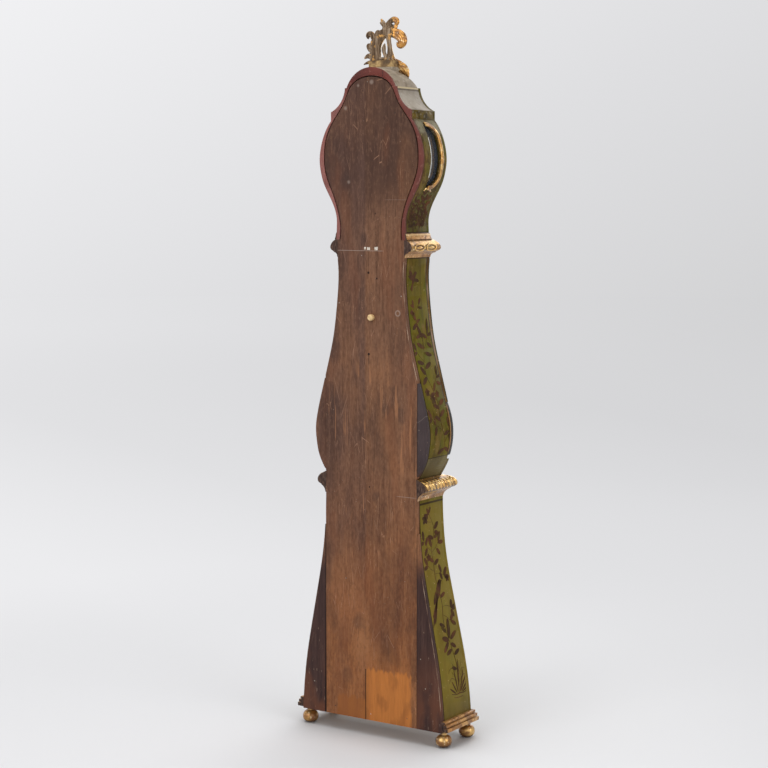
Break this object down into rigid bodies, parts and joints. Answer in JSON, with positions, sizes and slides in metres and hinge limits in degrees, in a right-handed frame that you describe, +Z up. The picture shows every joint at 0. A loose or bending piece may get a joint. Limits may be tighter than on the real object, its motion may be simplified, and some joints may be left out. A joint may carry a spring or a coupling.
{
  "type": "tall case clock",
  "caption": "Waisted tall case clock on ball feet, with a sliding glazed hood, a bellied trunk door, a swinging pendulum and two weights.",
  "frame": {"origin": "on the floor, under the middle of the clock's overall width and depth", "axes": "+Z up; the dial faces -Y, the bare back faces +Y; the doors hang on their +X side"},
  "size_m": [0.63, 0.226, 2.4641],
  "materials": {
    "back_pine": "old unpainted pine, darkened brown",
    "dark_wings": "pine with a worn dark stain",
    "hood_rim_red": "worn dark red paint on wood",
    "green_lacquer": "olive green lacquer with brown and gold painted plants",
    "grey_roof": "worn grey green paint",
    "gilt_wood": "worn gilding on carved wood",
    "raw_pine": "bare pine",
    "hinge_iron": "blackened wrought iron",
    "fitting_brass": "aged brass",
    "movement_brass": "brass, lightly tarnished",
    "bell_metal": "cast bell metal, turned",
    "dial_white": "off-white painted sheet iron",
    "hand_steel": "dark steel",
    "window_glass": "clear old glass",
    "weight_iron": "cast iron",
    "line_cord": "twisted gut line"
  },
  "bodies": {
    "case": {"backboard": "back_pine", "back_wings": "dark_wings", "trunk_side_left": "green_lacquer", "trunk_side_right": "green_lacquer", "belly_blocks": "green_lacquer", "trunk_front_frame": "green_lacquer", "base_side_left": "green_lacquer", "base_side_right": "green_lacquer", "base_front": "green_lacquer", "waist_moulding": "gilt_wood", "lower_moulding": "gilt_wood", "base_moulding": "gilt_wood", "ball_feet": "gilt_wood", "bottom_board": "raw_pine", "seatboard": "raw_pine", "wall_peg": "raw_pine", "trunk_hinge_pins": "hinge_iron", "suspension_cock": "hinge_iron", "front_plate": "movement_brass", "back_plate": "movement_brass", "plate_pillars": "movement_brass", "bell": "bell_metal", "dial_plate": "dial_white", "going_line": "line_cord", "strike_line": "line_cord"},
    "hood": {"hood_side_left": "green_lacquer", "hood_side_right": "green_lacquer", "hood_front": "green_lacquer", "hood_roof": "grey_roof", "hood_rear_rim": "hood_rim_red", "hood_side_glass": "window_glass", "hood_window_mouldings": "gilt_wood", "hood_base_moulding": "gilt_wood", "crest_plinth": "gilt_wood", "crest_carving": "gilt_wood", "hood_hinge_pins": "hinge_iron"},
    "hood_door": {"hood_door_ring": "gilt_wood", "hood_door_glass": "window_glass", "hood_door_fittings": "fitting_brass"},
    "trunk_door": {"trunk_door": "green_lacquer", "lenticle_ring": "gilt_wood", "lenticle_glass": "window_glass", "trunk_door_fittings": "fitting_brass"},
    "pendulum": {"pendulum_rod": "hand_steel", "pendulum_bob": "movement_brass"},
    "anchor": {"pallet_anchor": "hand_steel"},
    "centre": {"centre_wheel": "movement_brass", "minute_hand": "hand_steel"},
    "hour": {"hour_wheel": "movement_brass", "hour_hand": "hand_steel"},
    "minute_wheel": {"minute_wheel": "movement_brass"},
    "third": {"third_wheel": "movement_brass"},
    "escape": {"escape_wheel": "movement_brass", "seconds_hand": "hand_steel"},
    "great_wheel": {"going_great_wheel": "movement_brass"},
    "going_drum": {"going_drum": "movement_brass"},
    "strike_drum": {"strike_drum": "movement_brass"},
    "hammer": {"strike_hammer": "hand_steel"},
    "going_weight": {"going_weight": "weight_iron"},
    "strike_weight": {"strike_weight": "weight_iron"}
  },
  "joints": [
    {"name": "hood_slide", "type": "slide", "parent": "case", "child": "hood", "axis": [0, -1, 0], "range_m": [0, 0.25]},
    {"name": "hood_door_hinge", "type": "hinge", "parent": "hood", "child": "hood_door", "pos_m": [0.177, -0.0593, 1.983], "axis": [0, 0, 1], "range_deg": [0, 110]},
    {"name": "trunk_door_hinge", "type": "hinge", "parent": "case", "child": "trunk_door", "pos_m": [0.2384, -0.0575, 1.062], "axis": [0, 0, 1], "range_deg": [0, 105]},
    {"name": "pendulum_swing", "type": "hinge", "parent": "case", "child": "pendulum", "pos_m": [0, 0.061, 2.056], "axis": [0, 1, 0], "range_deg": [-3, 3]},
    {"name": "anchor_rock", "type": "hinge", "parent": "case", "child": "anchor", "pos_m": [0, 0.035, 2.056], "axis": [0, 1, 0], "range_deg": [-3.2, 3.2]},
    {"name": "centre_turn", "type": "hinge", "parent": "case", "child": "centre", "pos_m": [0, 0.005, 1.983], "axis": [0, 1, 0], "continuous": true},
    {"name": "hour_turn", "type": "hinge", "parent": "case", "child": "hour", "pos_m": [0, -0.011, 1.983], "axis": [0, 1, 0], "continuous": true},
    {"name": "minute_wheel_turn", "type": "hinge", "parent": "case", "child": "minute_wheel", "pos_m": [0, -0.009, 1.959], "axis": [0, 1, 0], "continuous": true},
    {"name": "third_turn", "type": "hinge", "parent": "case", "child": "third", "pos_m": [-0.01268, 0.01, 2.00886], "axis": [0, 1, 0], "continuous": true},
    {"name": "escape_turn", "type": "hinge", "parent": "case", "child": "escape", "pos_m": [0, 0.015, 2.029], "axis": [0, 1, 0], "continuous": true},
    {"name": "great_wheel_turn", "type": "hinge", "parent": "case", "child": "great_wheel", "pos_m": [0.034, 0.037, 1.95903], "axis": [0, 1, 0], "continuous": true},
    {"name": "going_drum_turn", "type": "hinge", "parent": "case", "child": "going_drum", "pos_m": [0.034, 0.021, 1.95903], "axis": [0, -1, 0], "range_deg": [0, 1333]},
    {"name": "strike_drum_turn", "type": "hinge", "parent": "case", "child": "strike_drum", "pos_m": [-0.034, 0.021, 1.95903], "axis": [0, 1, 0], "range_deg": [0, 1333]},
    {"name": "hammer_lift", "type": "hinge", "parent": "case", "child": "hammer", "pos_m": [-0.056, 0.021, 2.029], "axis": [0, -1, 0], "range_deg": [0, 15]},
    {"name": "going_weight_lift", "type": "slide", "parent": "case", "child": "going_weight", "axis": [0, 0, 1], "range_m": [0, 0.5], "deforming": ["going_line"]},
    {"name": "strike_weight_lift", "type": "slide", "parent": "case", "child": "strike_weight", "axis": [0, 0, 1], "range_m": [0, 0.5], "deforming": ["strike_line"]}
  ],
  "couplings": [
    {"joint": "anchor_rock", "follows": "pendulum_swing", "ratio": 1},
    {"joint": "hour_turn", "follows": "centre_turn", "ratio": 0.083333},
    {"joint": "minute_wheel_turn", "follows": "centre_turn", "ratio": -0.33333},
    {"joint": "third_turn", "follows": "centre_turn", "ratio": -8},
    {"joint": "escape_turn", "follows": "centre_turn", "ratio": 60},
    {"joint": "great_wheel_turn", "follows": "centre_turn", "ratio": -0.083333},
    {"joint": "going_drum_turn", "follows": "going_weight_lift", "rad_per_m": 46.189},
    {"joint": "strike_drum_turn", "follows": "strike_weight_lift", "rad_per_m": 46.189}
  ]
}
